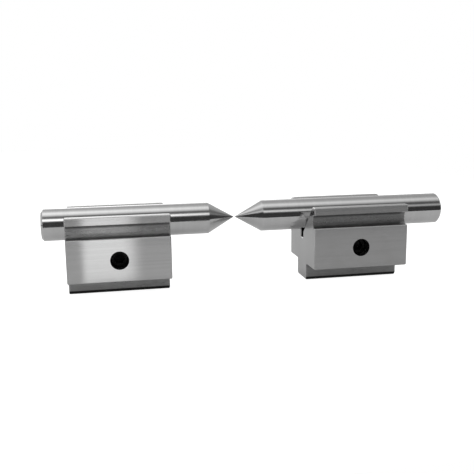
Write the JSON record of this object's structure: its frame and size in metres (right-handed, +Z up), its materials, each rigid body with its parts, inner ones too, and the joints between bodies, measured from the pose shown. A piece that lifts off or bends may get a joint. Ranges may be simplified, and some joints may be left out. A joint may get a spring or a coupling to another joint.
{
  "type": "v-block bench centers",
  "caption": "Matched pair of tongue-based V-block centers: plain cylindrical pins with sharp cones rest point to point in ground steel V-blocks.",
  "frame": {"origin": "under the middle of the set's overall length and depth, on the plane that both tongues stand on", "axes": "+X along the common axis of the two pins from the left unit to the right one, -Y the front, +Z up"},
  "size_m": [0.1656, 0.0342, 0.0333],
  "materials": {
    "ground_tool_steel": "surface-ground hardened tool steel, fine straight grinding lines, small broken edges",
    "polished_hardened_steel": "cylindrically ground and lapped hardened steel",
    "alnico_magnet": "ground cast alnico",
    "brass_sleeve": "turned brass",
    "black_oxide_steel": "black oxide, slightly oily"
  },
  "bodies": {
    "left_block": {"left_v_block": "ground_tool_steel", "left_magnet_sleeve": "brass_sleeve", "left_hold_down_magnet": "alnico_magnet", "left_front_set_screw": "black_oxide_steel", "left_rear_set_screw": "black_oxide_steel"},
    "left_pin": {"left_center_pin": "polished_hardened_steel"},
    "right_block": {"right_v_block": "ground_tool_steel", "right_magnet_sleeve": "brass_sleeve", "right_hold_down_magnet": "alnico_magnet", "right_front_set_screw": "black_oxide_steel", "right_rear_set_screw": "black_oxide_steel"},
    "right_pin": {"right_center_pin": "polished_hardened_steel"}
  },
  "joints": [
    {"name": "unit_spacing_slide", "type": "slide", "parent": "left_block", "child": "right_block", "axis": [1, 0, 0], "range_m": [-0.0003, 0.1]},
    {"name": "left_pin_spin", "type": "hinge", "parent": "left_block", "child": "left_pin", "pos_m": [-0.04465, 0, 0.027], "axis": [1, 0, 0], "continuous": true},
    {"name": "right_pin_spin", "type": "hinge", "parent": "right_block", "child": "right_pin", "pos_m": [0.0383, 0, 0.027], "axis": [1, 0, 0], "continuous": true}
  ]
}
